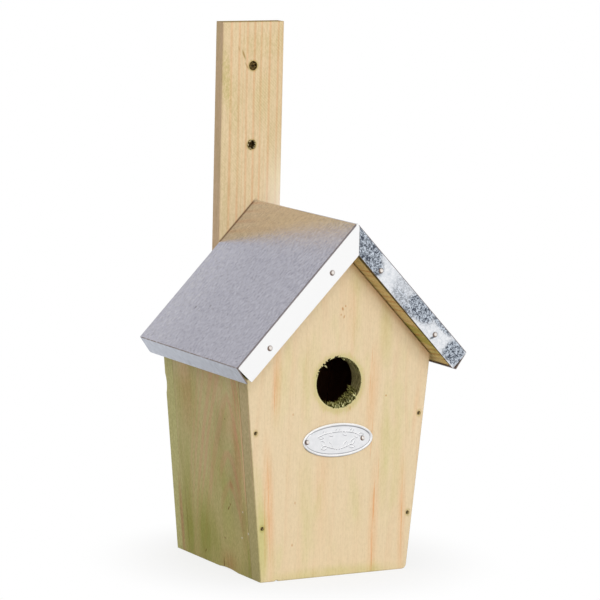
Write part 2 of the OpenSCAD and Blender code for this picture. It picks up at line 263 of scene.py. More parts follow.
def wood(name, board, light, late, spacing, fill, sway, fuzz, finish):
    """Sawn softwood. light is the early wood's colour and late the late wood's; spacing, fill and
    sway are the usual growth rings' distance, strength and waviness, and fuzz the fibres' dirt.
    finish adds what the piece alone has."""
    material, n, shader = new_material(name)
    place = n.position()
    v, u, w = (n.dot(place, tuple(axis * 1000)) for axis in (board.across, board.along, board.out))

    bend = n.noise(n.combine(n.times(u, 0.012), n.times(v, 0.03), n.times(w, 0.03)), detail=2)
    off_v = n.total(v, -board.pith[0], n.times(u, -board.drift[0]))
    off_w = n.total(w, -board.pith[1], n.times(u, -board.drift[1]))
    reach = n.math("SQRT", n.total(n.times(off_v, off_v), n.times(off_w, off_w)))
    reach = n.total(reach, n.times(n.minus(bend, 0.5), sway))
    uneven = n.noise(n.combine(n.times(reach, 0.35 / spacing), n.times(u, 0.002), 0.0), detail=1)
    year = n.math("FRACT", n.total(n.times(reach, 1 / spacing), n.times(uneven, 1.6)))
    usual = n.times(n.ramp(year, 0.35, 0.85), n.ramp(year, 0.9, 1.0, fill, 0.0))
    patchy = n.noise(n.combine(n.times(reach, 0.2), n.times(u, 0.02), 7.0), detail=2)
    late_wood = n.times(usual, n.ramp(patchy, 0.4, 0.65, 0.2, 1.0))
    for across, along, width, strength in board.rings:
        away = n.size(n.minus(reach, board.reach(across, along)))
        late_wood = n.most(late_wood, n.ramp(away, 0.15 * width, width, strength, 0.0))
    late_wood = n.times(late_wood, n.ramp(patchy, 0.3, 0.6, 0.65, 1.0))

    fibre = n.noise(n.combine(n.times(u, 0.05), n.times(v, 1.3), n.times(w, 1.3)), detail=4,
                    roughness=0.65)
    rough = n.noise(n.combine(n.times(u, 0.45), n.times(v, 0.9), n.times(w, 0.9)), detail=3,
                    roughness=0.7)
    cloud = n.noise(n.combine(n.times(u, 0.018), n.times(v, 0.06), n.times(w, 0.06)), detail=3)
    colour = n.mix(late_wood, light, late)
    colour = n.stain(colour, n.ramp(fibre, 0.35, 0.75, 0.0, fuzz), srgb(205, 190, 160))
    colour = n.stain(colour, n.ramp(rough, 0.35, 0.7, 0.0, fuzz), srgb(200, 195, 165))
    face = n.combine(v, u, n.minus(w, board.face))
    if finish:
        colour = finish(n, place, face, colour, cloud, fibre, rough)

    height = n.total(n.times(fibre, 0.6), n.times(rough, 0.5), n.times(late_wood, 0.3))
    bump = n.add("Bump", {"Strength": 0.4, "Distance": 0.0003, "Height": height})
    n.fill(shader, {"Base Color": colour, "Roughness": n.ramp(fibre, 0.2, 0.8, 0.66, 0.82),
                    "Normal": bump.outputs[0], "Specular IOR Level": 0.2})
    return material


GREEN = srgb(240, 250, 224)
# Painted shade: the dark colour of the box's inner faces, which only the entry hole lets light
# reach
PAINTED_INSIDE_SHADE = srgb(84, 52, 30)


def outer(side):
    """Unit vector out of a leaning side wall; side is -1 on the left and 1 on the right."""
    return Vector((side * math.cos(SPLAY), 0, -math.sin(SPLAY)))


# What a piece adds to its wood. Each finish takes the node writer, the place in metres, the place
# on the board's own axes in mm, the colour so far and three of wood's noises.

def front_finish(n, place, face, colour, cloud, fibre, rough):
    """The front wall's stains, its pink streaks, a painted shadow under the roof, the torn rim of
    the hole and its inside, darkened with painted shade.
    """
    colour = n.stain(colour, n.ramp(cloud, 0.5, 0.7, 0.0, 0.5), GREEN)
    green = n.spots(face, [
        (-51.5, 22, 5, 50, 3, 0.9), (33, 150, 7, 30, 2, 0.7), (34, 80, 5, 60, -1, 0.5),
        (0, 0, 70, 9, 0, 0.8), (-20, 130, 10, 22, 0, 0.3), (-22, 55, 7, 40, 0, 0.3)])
    colour = n.stain(colour, n.times(green, n.ramp(cloud, 0.3, 0.6, 0.5, 1.0)), srgb(236, 244, 214))
    pink = n.spots(face, [
        (-44, 125, 5, 36, 0, 0.9, 0.0), (-48, 50, 5.5, 60, 3, 1.0, 0.0),
        (24, 112, 6, 48, -3, 0.8, 0.0), (27, 30, 5.5, 60, -1, 0.8, 0.0),
        (47.5, 35, 4.5, 60, 0, 0.8, 0.0), (-10, 60, 9, 60, 0, 0.35, 0.0),
        (8, 165, 7, 40, 0, 0.35, 0.0), (56, 100, 3, 30, -5, 0.5, 0.0)])
    pink = n.times(pink, n.ramp(fibre, 0.3, 0.6, 0.45, 1.0))
    colour = n.stain(colour, n.times(pink, 0.8), srgb(255, 226, 205))
    lines = n.spots(face, [
        (27.2, 44, 0.7, 17, -1, 0.9), (26.6, 15, 0.6, 26, 0, 0.6), (24.4, 84, 0.5, 18, -3, 0.5),
        (-45.4, 120, 0.6, 20, 1, 0.5), (-47.5, 45, 0.5, 40, 3, 0.55), (-50, 30, 0.5, 34, 2, 0.5),
        (23, 128, 0.5, 24, -3, 0.4), (47.6, 34, 0.6, 34, 0, 0.5), (30, 64, 0.4, 12, -1, 0.5)])
    colour = n.stain(colour, n.times(lines, n.ramp(fibre, 0.3, 0.6, 0.4, 1.0)), srgb(250, 205, 170))
    pits = n.spots(face, [
        (1.4, 168.0, 1.0, 1.6, 15, 0.7), (3.4, 169.6, 0.8, 1.0, 0, 0.6),
        (0.4, 164.4, 0.8, 1.0, 0, 0.5), (2.6, 163, 0.7, 1.6, -20, 0.6),
        (34.1, 111.7, 0.7, 0.9, 0, 0.8), (-30.6, 22, 0.9, 1.4, 0, 0.5),
        (-29.2, 48.4, 0.7, 1.4, 0, 0.5), (-32, 104, 0.9, 1.2, 0, 0.4),
        (8.4, 105.5, 0.8, 2.0, 0, 0.4)])
    colour = n.stain(colour, pits, srgb(215, 165, 110))
    halo = n.spots(face, [(nail.x * 1000, nail.z * 1000, 2.8, 3.6, 0, 0.6) for nail in WALL_NAILS])
    colour = n.stain(colour, halo, srgb(205, 205, 150))

    x, height = n.mm(place, "x"), n.mm(place, "z")
    # Painted shadow: a band of the wall just under the roof boards is darkened
    below = n.minus(n.times(n.minus(RIDGE_Z, height), math.cos(PITCH)),
                    n.times(n.size(x), math.sin(PITCH)))
    colour = n.stain(colour, n.ramp(below, ROOF_T + 0.5, ROOF_T + 5.5, 0.75, 0.0),
                     srgb(226, 206, 186))

    z = n.minus(height, HOLE.z * 1000)
    from_hole = n.length(n.combine(x, z, 0.0))
    ragged = n.total(from_hole, n.times(n.minus(rough, 0.5), 9.0),
                     n.times(n.minus(cloud, 0.5), 8.0))
    colour = n.stain(colour, n.ramp(ragged, HOLE_R + 0.3, HOLE_R + 5.0, 0.8, 0.0),
                     srgb(230, 236, 200))
    close = n.total(from_hole, n.times(n.minus(rough, 0.5), 3.0))
    colour = n.mix(n.ramp(close, HOLE_R - 0.2, HOLE_R + 1.2, 0.6, 0.0), colour, srgb(210, 206, 152))
    # Painted shade: dark bites in the upper left of the rim, drawn in the colour of the hole's dark
    # inside
    torn = n.noise(n.combine(n.times(x, 0.6), n.times(z, 0.6), 3.0), detail=1)
    upper_left = n.ramp(n.total(n.times(x, -0.57), n.times(z, 0.82)), 12.2, 14.5)
    notch = n.minus(from_hole, n.times(n.ramp(torn, 0.45, 0.55), 1.0))
    notch = n.times(n.ramp(notch, HOLE_R - 0.05, HOLE_R + 0.15, 1.0, 0.0), upper_left)
    colour = n.mix(notch, colour, srgb(24, 18, 8))
    depth = n.axis(face, "z", -1)
    # The bore's darker olive tone is its end grain, deepened with painted shade
    bore = n.times(n.ramp(from_hole, HOLE_R + 0.02, HOLE_R + 0.2, 1.0, 0.0),
                   n.ramp(depth, 0.3, 1.2))
    streak = n.combine(n.times(depth, 1.4), n.times(x, 0.25), n.times(z, 0.25))
    streak = n.noise(streak, detail=4, roughness=0.7)
    bore_tone = n.mix(n.ramp(streak, 0.36, 0.62), srgb(92, 84, 42), srgb(172, 160, 112))
    colour = n.mix(bore, colour, bore_tone)
    # Painted shade on the wall's inner face
    return n.mix(n.ramp(depth, BOARD_T - 0.4, BOARD_T), colour, PAINTED_INSIDE_SHADE)


def edge_strip(n, place, colour, rough, tone):
    """Colours the long edges of the front and back walls, which show beside the side walls."""
    out = n.most(n.dot(place, tuple(outer(-1) * 1000)), n.dot(place, tuple(outer(1) * 1000)))
    edge = n.ramp(out, SIDE_FACE - 0.45, SIDE_FACE - 0.1, 0.0, 0.9)
    return n.mix(edge, colour, n.stain(tone, n.ramp(rough, 0.3, 0.7), srgb(225, 225, 215)))


def front_wall_finish(n, place, face, colour, cloud, fibre, rough):
    """The front wall's own finish, and its long edges with a pink line beside the side wall."""
    colour = front_finish(n, place, face, colour, cloud, fibre, rough)
    low = n.ramp(n.axis(face, "y"), 110, 10)
    tone = n.mix(low, srgb(205, 186, 140), srgb(191, 179, 124))
    pink = n.spots(n.combine(n.mm(place, "y"), n.mm(place, "z"), 0.0),
                   [(FRONT_Y * 1000 + 1.6, 85, 0.9, 60, 0, 0.7, 0.2)])
    return edge_strip(n, place, colour, rough, n.mix(pink, tone, srgb(212, 178, 142)))


def back_wall_finish(n, place, face, colour, cloud, fibre, rough):
    """A green bloom, greener long edges that turn brown near the foot, and an inside darkened with
    painted shade.
    """
    colour = n.stain(colour, n.ramp(cloud, 0.45, 0.65, 0.0, 0.8), GREEN)
    side = n.combine(n.mm(place, "y"), n.mm(place, "z"), 0.0)
    brown = n.spots(side, [(BACK_FRONT + 2.2, 20, 3.2, 42, 0, 1.0, 0.2)])
    colour = edge_strip(n, place, colour, rough,
                        n.mix(brown, srgb(212, 206, 144), srgb(194, 158, 110)))
    depth = n.mm(place, "y")
    # Painted shade on the wall's inner face
    inside = n.ramp(depth, BACK_FRONT + 0.1, BACK_FRONT + 0.6, 1.0, 0.0)
    return n.mix(inside, colour, PAINTED_INSIDE_SHADE)


def arches(n, v, u, peak, left, right, places):
    """Flat-sawn figure: bands that fall away on both sides of a peak line at across = peak. left
    and right are (slope, bend), and places is a list of (height, half width, strength)."""
    off = n.minus(v, peak)
    fall = 0.0
    for (slope, bend), sign in ((left, -1), (right, 1)):
        far = n.math("MAXIMUM", n.times(off, sign), 0.0)
        fall = n.total(n.times(far, slope), n.times(far, far, bend), fall)
    wander = n.noise(n.combine(n.times(v, 0.07), n.times(u, 0.02), 2.0), detail=2)
    field = n.total(u, fall, n.times(n.minus(wander, 0.5), 6.0))
    steep = n.ramp(n.size(off), 0, 8, 1.0, 2.2)
    return n.most(*(n.ramp(n.size(n.minus(field, height)), n.times(steep, 0.2 * half),
                           n.times(steep, half), strength, 0.0)
                    for height, half, strength in places))


def left_wall_finish(n, place, face, colour, cloud, fibre, rough):
    """The left wall's broad pink arches, with painted light at its upper left, over the usual
    stains.
    """
    v, u = n.axis(face, "x"), n.axis(face, "y")
    tall = arches(n, v, u, 22.9, (1.4, 0.022), (1.2, 0.15), [
        (118.5, 5.5, 1.0), (147, 3.6, 0.9), (165, 4.4, 0.9), (133, 2.0, 0.4), (104, 3.5, 0.35),
        (190, 4.0, 0.6), (208, 4.5, 0.5)])
    low = arches(n, v, u, 19.0, (0.35, 0.06), (0.2, 0.12), [
        (80, 4.0, 1.0), (61, 3.4, 0.85), (71, 1.8, 0.3)])
    low = n.times(low, n.ramp(n.size(n.minus(v, 19)), 9, 16, 1.0, 0.0))
    tall = n.times(tall, n.ramp(u, 30, 70, 0.3, 1.0))
    bands = n.times(n.most(tall, low), n.ramp(fibre, 0.25, 0.6, 0.65, 1.0))
    heart = n.ramp(n.total(u, n.times(n.size(n.minus(v, 23)), 1.9)), 119, 108)
    heart = n.times(heart, n.ramp(u, 84, 100))
    colour = n.mix(n.most(n.times(bands, 0.85), n.times(heart, 0.4)), colour, srgb(218, 179, 140))
    # Painted light: paler patches at the upper left that lift the shade under the eave
    light = n.spots(face, [(-36, 130, 18, 18, 0, 0.9, 0.0), (8, 132, 34, 26, 0, 0.3, 0.3)])
    colour = n.mix(light, colour, srgb(236, 216, 178))
    colour = n.stain(colour, n.ramp(u, 75, 15), srgb(243, 242, 228))
    shade = n.spots(face, [
        (34, 40, 9, 26, 0, 0.45, 0.0), (35, 8, 9, 22, 0, 0.45, 0.0),
        (10, 94, 11, 26, 0, 0.4, 0.1), (25, 62, 13, 42, 0, 0.5, 0.2)])
    colour = n.stain(colour, shade, srgb(213, 217, 196))
    return side_finish(n, place, face, colour, cloud, fibre, rough)


def side_finish(n, place, face, colour, cloud, fibre, rough):
    """The side walls' green and pink stains, small scars, and the inner face darkened with painted
    shade.
    """
    v, u = n.axis(face, "x"), n.axis(face, "y")
    wisp = n.combine(n.total(n.times(u, 0.32), n.times(v, 0.12)),
                     n.total(n.times(v, 1.1), n.times(u, -0.35)), 0.0)
    wisp = n.noise(wisp, detail=4, roughness=0.7)
    colour = n.stain(colour, n.ramp(wisp, 0.42, 0.66, 0.0, 0.42), srgb(205, 212, 180))
    colour = n.stain(colour, n.ramp(cloud, 0.42, 0.62, 0.0, 0.45), srgb(236, 248, 216))
    green = n.spots(face, [
        (-40, 36, 12, 60, 0, 1.0, 0.1), (-18, 22, 26, 34, 0, 0.85, 0.1),
        (38.2, 8, 2.6, 30, 0, 1.0, 0.2), (8, 70, 22, 50, 0, 0.5, 0.1),
        (16, 98, 7, 22, -12, 0.5, 0.1), (-45, 70, 4, 30, 0, 0.6, 0.1)])
    colour = n.stain(colour, n.times(green, n.ramp(cloud, 0.3, 0.6, 0.6, 1.0)), srgb(218, 230, 186))
    pink = n.spots(face, [
        (31, 78, 8, 60, 0, 0.9, 0.0), (34, 120, 8, 40, 0, 0.6, 0.0),
        (-32, 118, 18, 46, 0, 0.8, 0.0), (4, 130, 22, 24, 0, 0.5, 0.0),
        (21, 62, 4, 7, 0, 0.9, 0.0), (12, 10, 16, 12, 0, 0.8, 0.0), (34, 40, 6, 30, 0, 0.6, 0.0)])
    colour = n.stain(colour, n.times(pink, n.ramp(fibre, 0.3, 0.6, 0.5, 1.0)), srgb(246, 216, 208))
    line = n.spots(face, [(39.0, 84, 0.9, 46, 0, 0.8, 0.3), (38.6, 33, 0.7, 7, 0, 0.5)])
    colour = n.mix(line, colour, srgb(232, 190, 152))
    scars = n.spots(face, [
        (4, 6.5, 0.55, 8, -6, 1.0), (15.5, 46, 2.6, 0.8, 50, 0.8), (18, 48.6, 1.6, 0.7, 60, 0.6),
        (-20, 11.5, 2.6, 0.8, 45, 0.5), (18.2, 103.4, 0.8, 0.7, 0, 0.7),
        (7.8, 25.3, 2.0, 0.7, -10, 0.5), (-43, 30, 0.6, 36, 0, 0.35)])
    colour = n.stain(colour, scars, srgb(170, 110, 80))
    pale = n.spots(face, [
        (30.6, 29.8, 0.8, 0.8, 0, 0.9), (39.2, 34, 0.6, 1.2, 0, 0.8),
        (33.9, 46.8, 0.6, 0.9, 0, 0.8)])
    colour = n.mix(pale, colour, srgb(240, 236, 225))
    # Painted shade on the wall's inner face
    inside = n.ramp(n.axis(face, "z", -1), BOARD_T - 1.0, BOARD_T - 0.2)
    return n.mix(inside, colour, srgb(112, 68, 38))


def batten_finish(n, place, face, colour, cloud, fibre, rough):
    """Diagonal saw marks, a green bloom, painted light and a line of dirt with painted shadow by
    the roof, the end grain on top and the scar near the upper hole.
    """
    feeds = {"Vector": face, "Scale": 0.3, "Distortion": 1.6, "Detail": 2, "Detail Scale": 1.2}
    saw = n.add("TexWave", feeds, wave_type="BANDS", bands_direction="DIAGONAL").outputs[1]
    colour = n.stain(colour, n.times(saw, n.ramp(cloud, 0.4, 0.65, 0.05, 0.35)),
                     srgb(226, 222, 204))
    # Painted light: a pale pool on the right near the roof, where the metal throws light back onto
    # the batten
    pale = n.spots(face, [(22, 222, 22, 50, 0, 1.0, 0.0)])
    colour = n.mix(n.times(pale, 0.8), colour, srgb(252, 236, 212))
    left = -batten_low.x * 1000
    edge = n.ramp(n.size(n.axis(face, "x")), left - 0.4, left - 0.05)
    colour = n.stain(colour, edge, srgb(248, 239, 240))
    green = n.spots(face, [
        (-23, 300, 5, 30, 6, 0.9), (-18, 285, 6, 26, 0, 0.4), (2, 322, 22, 12, 0, 0.3),
        (-22, 210, 5, 50, 0, 0.3)])
    colour = n.stain(colour, n.times(green, n.ramp(rough, 0.3, 0.6, 0.2, 0.8)), srgb(228, 234, 198))
    colour = n.stain(colour, n.ramp(cloud, 0.45, 0.7, 0.0, 0.3), GREEN)
    x, z = n.mm(place, "x"), n.mm(place, "z")
    # Dirt and painted shadow: a dark line on the batten along the roof's rear edge
    above = n.minus(n.times(n.minus(z, RIDGE_Z), math.cos(PITCH)),
                    n.times(n.size(x), -math.sin(PITCH)))
    seam_dirt_and_shadow = n.times(n.ramp(above, 0.5, 1.5, 0.85, 0.0),
                   n.ramp(n.axis(face, "z", -1), 0.2, 0.5, 1.0, 0.0),
                   n.ramp(x, -0.3, -2.5, 0.25, 1.0))
    colour = n.stain(colour, seam_dirt_and_shadow, srgb(120, 88, 60))
    scar = n.spots(face, [
        (-10.8, 316, 0.9, 4.6, 22, 0.8), (-8.6, 309, 0.8, 3.4, 28, 0.5),
        (-14.4, 320, 0.6, 2.5, 10, 0.4)])
    colour = n.stain(colour, scar, srgb(190, 175, 125))
    top = n.ramp(n.mm(place, "z"), batten_high.z * 1000 - 0.3, batten_high.z * 1000 - 0.05)
    colour = n.stain(colour, top, srgb(198, 190, 150))
    for hole in HANG_HOLES.values():
        away = n.length(n.combine(n.minus(n.mm(place, "x"), hole[0] * 1000),
                                  n.minus(n.mm(place, "z"), hole[2] * 1000), 0.0))
        depth = n.axis(face, "z", -1)
        # The bores' dark tone is end grain deepened with painted shade
        bore = n.times(n.ramp(away, HANG_R + 0.02, HANG_R + 0.2, 1.0, 0.0), n.ramp(depth, 0.1, 0.6))
        colour = n.mix(bore, colour, srgb(88, 70, 36))
        colour = n.stain(colour, n.ramp(away, HANG_R, HANG_R + 1.4, 0.8, 0.0), srgb(215, 215, 165))
    return colour


def roof_board_finish(n, place, face, colour, cloud, fibre, rough):
    """A green bloom, and a black line of painted shadow and damp where the metal's front flange
    meets the board.
    """
    colour = n.stain(colour, n.ramp(cloud, 0.45, 0.65, 0.0, 0.6), srgb(228, 240, 196))
    y = n.total(n.mm(place, "y"), n.times(n.minus(rough, 0.5), 2.4))
    colour = n.stain(colour, n.ramp(cloud, 0.52, 0.62, 0.0, 0.55), srgb(200, 218, 150))
    # Painted shadow with damp: a black line just behind the front flange's lip
    shadow_and_damp_line = n.ramp(y, SHEET_FRONT + 4.6, SHEET_FRONT + 5.8, 0.9, 0.0)
    return n.stain(colour, shadow_and_damp_line, srgb(84, 82, 44))


BATTEN_RINGS = [(x, 280, width, strength) for x, width, strength in (
    (-19.9, 1.2, 0.8), (-14.0, 1.1, 0.75), (-8.2, 1.1, 0.7), (-3.0, 1.1, 0.8), (1.9, 1.0, 0.7),
    (8.1, 1.1, 0.85), (14.1, 1.0, 0.8), (17.0, 0.6, 0.3), (-11, 0.6, 0.3), (5.0, 0.6, 0.25))]
UP, WIDE, DEEP = (0, 0, 1), (1, 0, 0), (0, 1, 0)
LEAN = {side: (side * math.sin(SPLAY), 0, math.cos(SPLAY)) for side in (-1, 1)}

# Each node, its material, board, light and late wood, and wood's spacing, fill, sway, fuzz, finish
WOODS = [
    ("front_wall", "front_wood", Board(WIDE, UP, -FRONT_Y * 1000, (180, -60), (0.02, 0)),
     (231, 210, 175), (228, 197, 160), 9.0, 0.35, 8, 0.16, front_wall_finish),
    ("back_wall", "back_wood", Board(WIDE, UP, -BACK_FRONT, (-160, 40), (-0.03, 0)),
     (226, 206, 160), (218, 178, 136), 7.0, 0.7, 8, 0.3, back_wall_finish),
    ("left_wall", "left_wood",
     Board((0, -1, 0), LEAN[-1], SIDE_FACE, (21, SIDE_FACE - 22), (0, -0.12)),
     (215, 201, 148), (218, 192, 146), 5.0, 0.12, 3, 0.25, left_wall_finish),
    ("right_wall", "right_wood", Board(DEEP, LEAN[1], SIDE_FACE, (10, SIDE_FACE - 26), (0, 0.10)),
     (224, 206, 156), (222, 178, 138), 5.0, 0.7, 6, 0.4, side_finish),
    ("floor", "floor_wood", Board(WIDE, DEEP, 0, (20, 50), (0, 0.05)),
     (222, 202, 158), (206, 166, 126), 6.0, 0.7, 6, 0.4, None),
    ("mounting_batten", "batten_wood",
     Board(WIDE, UP, -batten_low.y * 1000, (-150, -back_high.y * 1000 - 90), (0, 0), BATTEN_RINGS),
     (230, 207, 168), (228, 186, 144), 6.0, 0.0, 0.8, 0.25, batten_finish)]

# The roof boards' grain runs from front to back
for side, board_name in ((-1, "left_roof_board"), (1, "right_roof_board")):
    down_slope = (side * math.cos(PITCH), 0, -math.sin(PITCH))
    WOODS.append((board_name, board_name + "_wood",
                  Board(down_slope, (0, side, 0), 0, (190, -60), (0.06, 0)),
                  (224, 202, 142), (204, 150, 96), 3.6, 1.0, 6, 0.5, roof_board_finish))

for node_name, material_name, board, light, late, *growth, finish in WOODS:
    dress(node_name, wood(material_name, board, srgb(*light), srgb(*late), *growth, finish))


# ---------------- metal

SLOPE_DARK, SLOPE_LIGHT = srgb(214, 213, 227), srgb(243, 242, 253)
REAR_DARK, REAR_LIGHT = srgb(231, 230, 247), srgb(250, 249, 255)
# The eave lip's tones are darker than the slopes': painted shade for the shaded floor the lip
# mirrors, with its hatching
LIP_DARK, LIP_LIGHT = srgb(174, 179, 192), srgb(210, 216, 229)
# Painted reflection: the left flange's clean metal, painted pure white where it mirrors the soft
# box
LEFT_FLANGE_PAINTED_REFLECTION = srgb(254, 254, 254)


def slope_tone(n, x, y, down, level):
    """The satin slopes: swirls and streaks, a paler rear, a painted warm reflection of the batten
    by the ridge, dents on the left.
    Returns the colour, the swirls and the fine grain."""
    along = n.times(n.total(down, n.times(y, 0.35)), 0.42)
    brushed = n.combine(along, n.times(n.total(y, n.times(down, -0.35)), 1.25), n.times(level, 0.5))
    swirl = n.noise(brushed, 1.0, 4, 0.65, 0.6)
    grain = n.noise(brushed, 2.4, 2, 0.6)
    streaks = n.combine(n.times(n.total(down, n.times(y, 0.2)), 0.22), n.times(y, 1.25), 3.0)
    streaks = n.noise(streaks, detail=3)
    speck = n.ramp(n.noise(brushed, 1.3, 2, 0.5), 0.57, 0.64)
    base = n.mix(n.ramp(swirl, 0.35, 0.65), SLOPE_DARK, SLOPE_LIGHT)
    rear = n.mix(n.ramp(swirl, 0.35, 0.65), REAR_DARK, REAR_LIGHT)
    base = n.mix(n.times(n.ramp(y, 5, 55), n.ramp(down, 30, 45)), base, rear)
    base = n.stain(base, n.ramp(grain, 0.3, 0.7, 0.0, 0.35), srgb(225, 225, 228))
    # Painted reflection: a warm cast by the ridge, where the slope mirrors the batten
    painted_batten_reflection = n.total(down, n.times(y, -0.229), n.times(n.minus(swirl, 0.5), 6.0))
    painted_batten_reflection = n.ramp(painted_batten_reflection, 10, 23, 1.0, 0.0)
    streaks = n.times(n.ramp(streaks, 0.4, 0.62, 0.0, 0.7), n.ramp(painted_batten_reflection, 0, 1, 1.0, 0.3))
    base = n.stain(base, streaks, srgb(228, 227, 230))
    base = n.stain(base, n.times(painted_batten_reflection, 0.6), srgb(246, 244, 226))
    base = n.stain(base, n.times(speck, 0.5), srgb(190, 185, 180))
    dents = n.spots(n.combine(down, y, 0.0), [
        (85.9, 26.6, 1.5, 1.5, 0, 0.6), (82.1, 11.8, 1.3, 1.3, 0, 0.6), (84, 6, 1.0, 1.0, 0, 0.5),
        (70, -20, 1.2, 1.2, 0, 0.35)])
    base = n.stain(base, n.times(dents, n.ramp(x, 0, 1, 1.0, 0.0)), srgb(175, 168, 160))
    return base, swirl, grain


def frosted_flange(n, down, level):
    """The right front flange: pale metal with patches of dark spangle under white bloom. Returns
    the colour and the flange's own (down, level) place."""
    crystal = n.noise(n.combine(down, level, 4.0), 0.5, 5, 0.75, 0.8)
    crumbs = n.noise(n.combine(down, level, 9.0), 1.35, 3, 0.7, 0.4)
    flange_face = n.combine(down, level, 0.0)
    frosted = n.spots(flange_face, [
        (6, 6, 26, 18, 0, 1.0, 0.75), (26, 9, 11, 8, 0, 1.0, 0.6), (52, 4, 14, 9, 0, 0.4, 0.3),
        (56, 9, 12, 6, 0, 0.65, 0.4), (72, 4, 15, 9, 0, 1.0, 0.6), (66, 11, 9, 4, 0, 0.85, 0.5),
        (90, 0.5, 14, 3.6, 0, 0.9, 0.5), (110, 6.5, 10, 11, 0, 1.0, 0.6)])
    clear = n.spots(flange_face, [
        (42, 5, 5, 12, -25, 0.95, 0.3), (89, 10, 9, 5.5, 0, 1.0, 0.4), (99, 8, 5, 6, 0, 0.9, 0.3),
        (113, 13.6, 9, 1.6, 0, 0.9, 0.4)])
    clear = n.most(clear, n.ramp(level, 13.2, 13.8), n.ramp(down, 117.2, 117.8))
    frosted = n.times(frosted, n.minus(1.0, clear))
    mottled = n.ramp(n.total(n.times(crystal, 0.6), n.times(crumbs, 0.4)), 0.45, 0.56)
    dull = n.mix(mottled, srgb(70, 76, 88), srgb(208, 217, 228))
    pale = n.mix(n.ramp(crystal, 0.3, 0.65), srgb(214, 219, 225), srgb(246, 247, 250))
    return n.mix(frosted, pale, dull), flange_face


def zinc():
    """Galvanised sheet: satin slopes, a clean left flange painted white as a reflection, a frosted
    right flange, and dark fold lines, painted shade at the front fold.
    down is how far a point lies from the ridge along the slope, and level how far under it."""
    material, n, shader = new_material("zinc_sheet")
    coordinates = n.add("TexCoord").outputs
    place, facing = coordinates["Object"], coordinates["Normal"]
    x, y, z = (n.mm(place, name) for name in "xyz")
    front = n.times(n.ramp(n.axis(facing, "y", -1), 0.93, 0.99),
                    n.ramp(y, SHEET_FRONT + 0.3, SHEET_FRONT + 0.2))
    side_x = n.size(x)
    down = n.total(n.times(side_x, math.cos(PITCH)), n.times(n.minus(RIDGE_Z, z), math.sin(PITCH)))
    level = n.minus(n.times(n.minus(RIDGE_Z, z), math.cos(PITCH)), n.times(side_x, math.sin(PITCH)))
    under = n.axis(facing, "z", -1)
    lip = n.times(n.ramp(under, 0.3, 0.5), n.ramp(down, 100, 104))
    right = n.ramp(x, 1.4, 1.6)
    place_mm = n.combine(x, y, z)
    base, swirl, grain = slope_tone(n, x, y, down, level)

    hatch = n.combine(n.times(n.total(y, z), 0.16), n.times(n.minus(y, z), 1.1), 5.0)
    hatch = n.ramp(n.noise(hatch, detail=3), 0.35, 0.65)
    base = n.mix(lip, base, n.mix(hatch, LIP_LIGHT, LIP_DARK))
    frosty, flange_face = frosted_flange(n, down, level)
    base = n.mix(front, base, n.mix(right, LEFT_FLANGE_PAINTED_REFLECTION, frosty))

    # Painted shade: a dark line along the front fold; the eave fold gets a broken brown line
    fold_front = n.times(n.minus(1.0, front), n.ramp(y, SHEET_FRONT + 1.0, SHEET_FRONT + 0.75))
    broken = n.ramp(n.noise(place_mm, 0.35, 3, 0.6), 0.35, 0.5)
    base = n.mix(n.times(fold_front, 0.9), base, srgb(118, 108, 106))
    eave = n.ramp(down, EAVE - 0.8, EAVE - 0.35)
    eave = n.times(eave, n.minus(1.0, lip), n.minus(1.0, front))
    base = n.mix(n.times(eave, n.ramp(broken, 0, 1, 0.45, 0.9)), base, srgb(128, 110, 98))
    fold_lines = n.most(fold_front, eave)
    rims = n.spots(n.combine(x, z, 0.0), [
        (pin.x * 1000, pin.z * 1000, 2.1, 2.1, 0, 0.8, 0.75) for pin in ROOF_PINS])
    base = n.stain(base, n.times(rims, front), srgb(150, 138, 130))
    smear = n.spots(flange_face, [(91.5, 10.5, 1.0, 3.2, 25, 0.9), (33, 11, 1.5, 3.0, 30, 0.7)])
    base = n.stain(base, n.times(smear, front, right), srgb(110, 112, 118))

    height = n.total(swirl, n.times(grain, 0.5))
    bump = n.add("Bump", {"Strength": 0.12, "Distance": 0.0004, "Height": height})
    gloss = n.ramp(grain, 0.3, 0.7, 0.09, 0.15)
    gloss = n.total(gloss, n.times(front, n.minus(0.34, gloss)))
    n.fill(shader, {"Base Color": base, "Roughness": n.most(gloss, n.times(fold_lines, 0.6)),
                    "Normal": bump.outputs[0], "Metallic": n.minus(1.0, n.times(fold_lines, 0.8))})
    return material


def pin_metal():
    """A bright domed head, with a painted highlight at its centre and painted shade round its edge.
    """
    material, n, shader = new_material("pin_metal")
    facing = n.add("TexCoord").outputs["Normal"]
    # Painted shade: the edge of the dome, turned away from the front, is darkened; the
    # half-metallic pale centre is a painted highlight
    rim = n.ramp(n.dot(facing, (0.2, -0.95, 0.2)), 0.62, 0.86, 1.0, 0.0)
    scratched = n.noise(n.position(), 2500, 3)
    base = n.mix(n.ramp(scratched, 0.3, 0.7, 0.0, 0.4), srgb(246, 240, 234), srgb(200, 186, 176))
    n.fill(shader, {"Base Color": n.mix(rim, base, srgb(122, 102, 92)),
                    "Metallic": n.ramp(rim, 0, 1, 0.5, 0.4),
                    "Roughness": n.ramp(scratched, 0.3, 0.7, 0.22, 0.4)})
    return material


